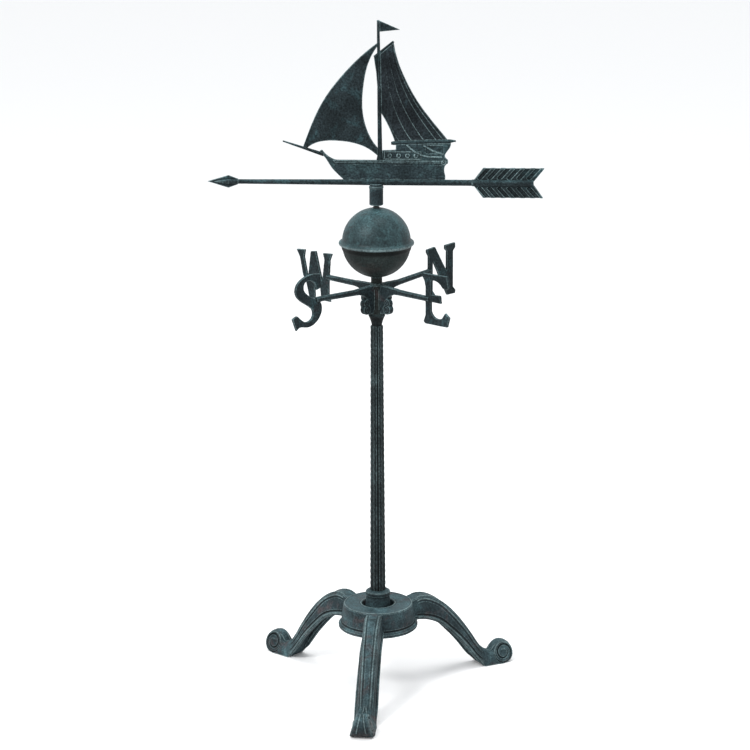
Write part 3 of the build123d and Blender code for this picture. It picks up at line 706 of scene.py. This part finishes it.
def hub_relief(coords, normals):
    """Raised lips beside the four slots."""
    turn = (np.degrees(np.arctan2(coords[:, 1], coords[:, 0])) - NORTH + 45) % 90 - 45
    z = coords[:, 2]
    lip = bump_line((np.abs(turn) - 27) * 0.218, 1.0) * soft_step(z, 711, 713) * (1 - soft_step(z, 748, 750))
    return 0.9 * lip * (np.hypot(coords[:, 0], coords[:, 1]) > 11)


plain_cast("direction_hub", "compass", 0.6, 3, 0.12, joint_patina, hub_relief, 57, run=COMPASS_RUN)


# ---- vane ----------------------------------------------------------------------------------
LEECH = [(31.5, 1189), (38.7, 1156), (54.3, 1118.1), (74.4, 1082.3), (101.3, 1046.4), (127, 1015)]
LUFF = [(4.6, 1168), (34, 1010)]
# (place across the sail, height) of each seam; the last is the hem inside the leech
SEAMS = ((0.1, 0.25), (0.33, 0.4), (0.56, 0.45), (0.79, 0.45), (0.92, 0.55))
WINDOWS = (24.5, 40, 55.5, 70.5)
ROPES = ([(54.7, 1006.9), (70.3, 994.4), (88.3, 987.7), (115.1, 986.5)],
         [(83.7, 1006.9), (99.4, 997.8), (117.3, 992.2)])


def main_relief(coords, normals):
    """Seams that fan from gaff to boom and fade upwards, a hem inside the leech and a slight belly."""
    x, _, z = coords.T
    flat = soft_step(np.abs(normals[:, 1]), 0.6, 0.95)
    back = np.array(curve_points(LEECH))
    order = np.argsort(back[:, 1])
    aft = np.interp(z, back[order, 1], back[order, 0])
    (head_x, head_z), (foot_x, foot_z) = LUFF
    down = np.clip((head_z - z) / (head_z - foot_z), 0, 1)
    fore = head_x + (foot_x - head_x) * down ** 4
    across = (x - fore) / np.maximum(aft - fore, 1)
    wide = np.maximum(aft - fore, 1)
    out = np.zeros(len(coords))
    fade = 0.45 + 0.55 * down
    for place, high in SEAMS:
        out += high * fade * bump_line((across - place) * wide, 1.3)
    out += 0.5 * np.sin(np.clip(across, 0, 1) * np.pi) * (wide > 10)
    return out * flat


def jib_relief(coords, normals):
    """A filled belly with shallow dents."""
    x, _, z = coords.T
    belly = np.exp(-(((x + 55) / 42) ** 2 + ((z - 1065) / 62) ** 2))
    flat = soft_step(np.abs(normals[:, 1]), 0.6, 0.95)
    return (1.8 * belly + 0.3 * value_noise(coords, 18, 61)) * flat


def hull_relief(coords, normals):
    """Rail, framed window crescents, sunk gallery, ropes from boom to stern, rough side and stern scroll."""
    x, _, z = coords.T
    flat = soft_step(np.abs(normals[:, 1]), 0.6, 0.95)
    out = np.zeros(len(coords))
    out += 0.5 * bump_line(z - 978, 2.2) * (x > -70) * (x < 120)
    frame = np.maximum(np.abs(x - 47) - 32, np.abs(z - 989) - 6.5)
    out += 0.6 * bump_line(frame, 1.1)
    for window in WINDOWS:
        shell = np.hypot(x - window, z - 988.8)
        out += 1.1 * bump_line(shell - 3.4, 1.5) * soft_step(window - x - 0.6 * (z - 988.8), -1.5, 1.5)
    gallery = soft_step(x, 86, 89) * (1 - soft_step(x, 116, 119))
    out -= 0.8 * (gallery * soft_step(z, 992, 994) * (1 - soft_step(z, 1005, 1007)))
    for rope in ROPES:
        out += 1.5 * bump_line(path_distance(x, z, curve_points(rope, 8)), 1.7)
    below = (z < 972) * (z > 948)
    out += 0.35 * value_noise(coords * (0.5, 1, 2), 6, 71) * below
    reach = np.hypot(x - 119, z - 977)
    out += 1.3 * bump_line(reach - 3.6, 1.6) + 1.0 * bump_line(reach, 1.8)
    return out * flat


def boom_relief(coords, normals):
    """The boom's ends are drawn down to blunt points."""
    x = coords[:, 0]
    return -1.9 * soft_step(x, 128, 141) - 1.2 * (1 - soft_step(x, 25.6, 31))


plain_cast("mainsail", "vane", 0.85, 3, 0.14, mainsail_patina, main_relief, 61)
plain_cast("jib_sail", "vane", 0.9, 3, 0.16, vane_patina, jib_relief, 63)
plain_cast("ship_hull", "vane", 0.7, 2, 0.22, hull_patina, hull_relief, 65)
plain_cast("mast", "vane", 0.6, 3, 0.12, vane_patina, seed=67, roundness=0.07)
plain_cast("pennant", "vane", 0.45, 2, 0.08, vane_patina, seed=68)
plain_cast("gaff", "vane", 0.5, 2, 0.1, vane_patina, seed=69, roundness=0.18)
plain_cast("boom", "vane", 0.6, 2, 0.14, hull_patina, boom_relief, 70, 0.13)
plain_cast("bowsprit", "vane", 0.45, 2, 0.1, vane_patina, seed=71, roundness=0.14)
plain_cast("arrow_shaft", "vane", 0.8, 2, 0.12, vane_patina, seed=72, roundness=0.09)
plain_cast("arrow_head", "vane", 0.55, 3, 0.1, vane_patina, seed=73)
plain_cast("arrow_tail", "vane", 0.6, 3, 0.12, vane_patina, seed=74)
plain_cast("vane_socket", "vane", 0.6, 3, 0.14, stand_patina, seed=75)
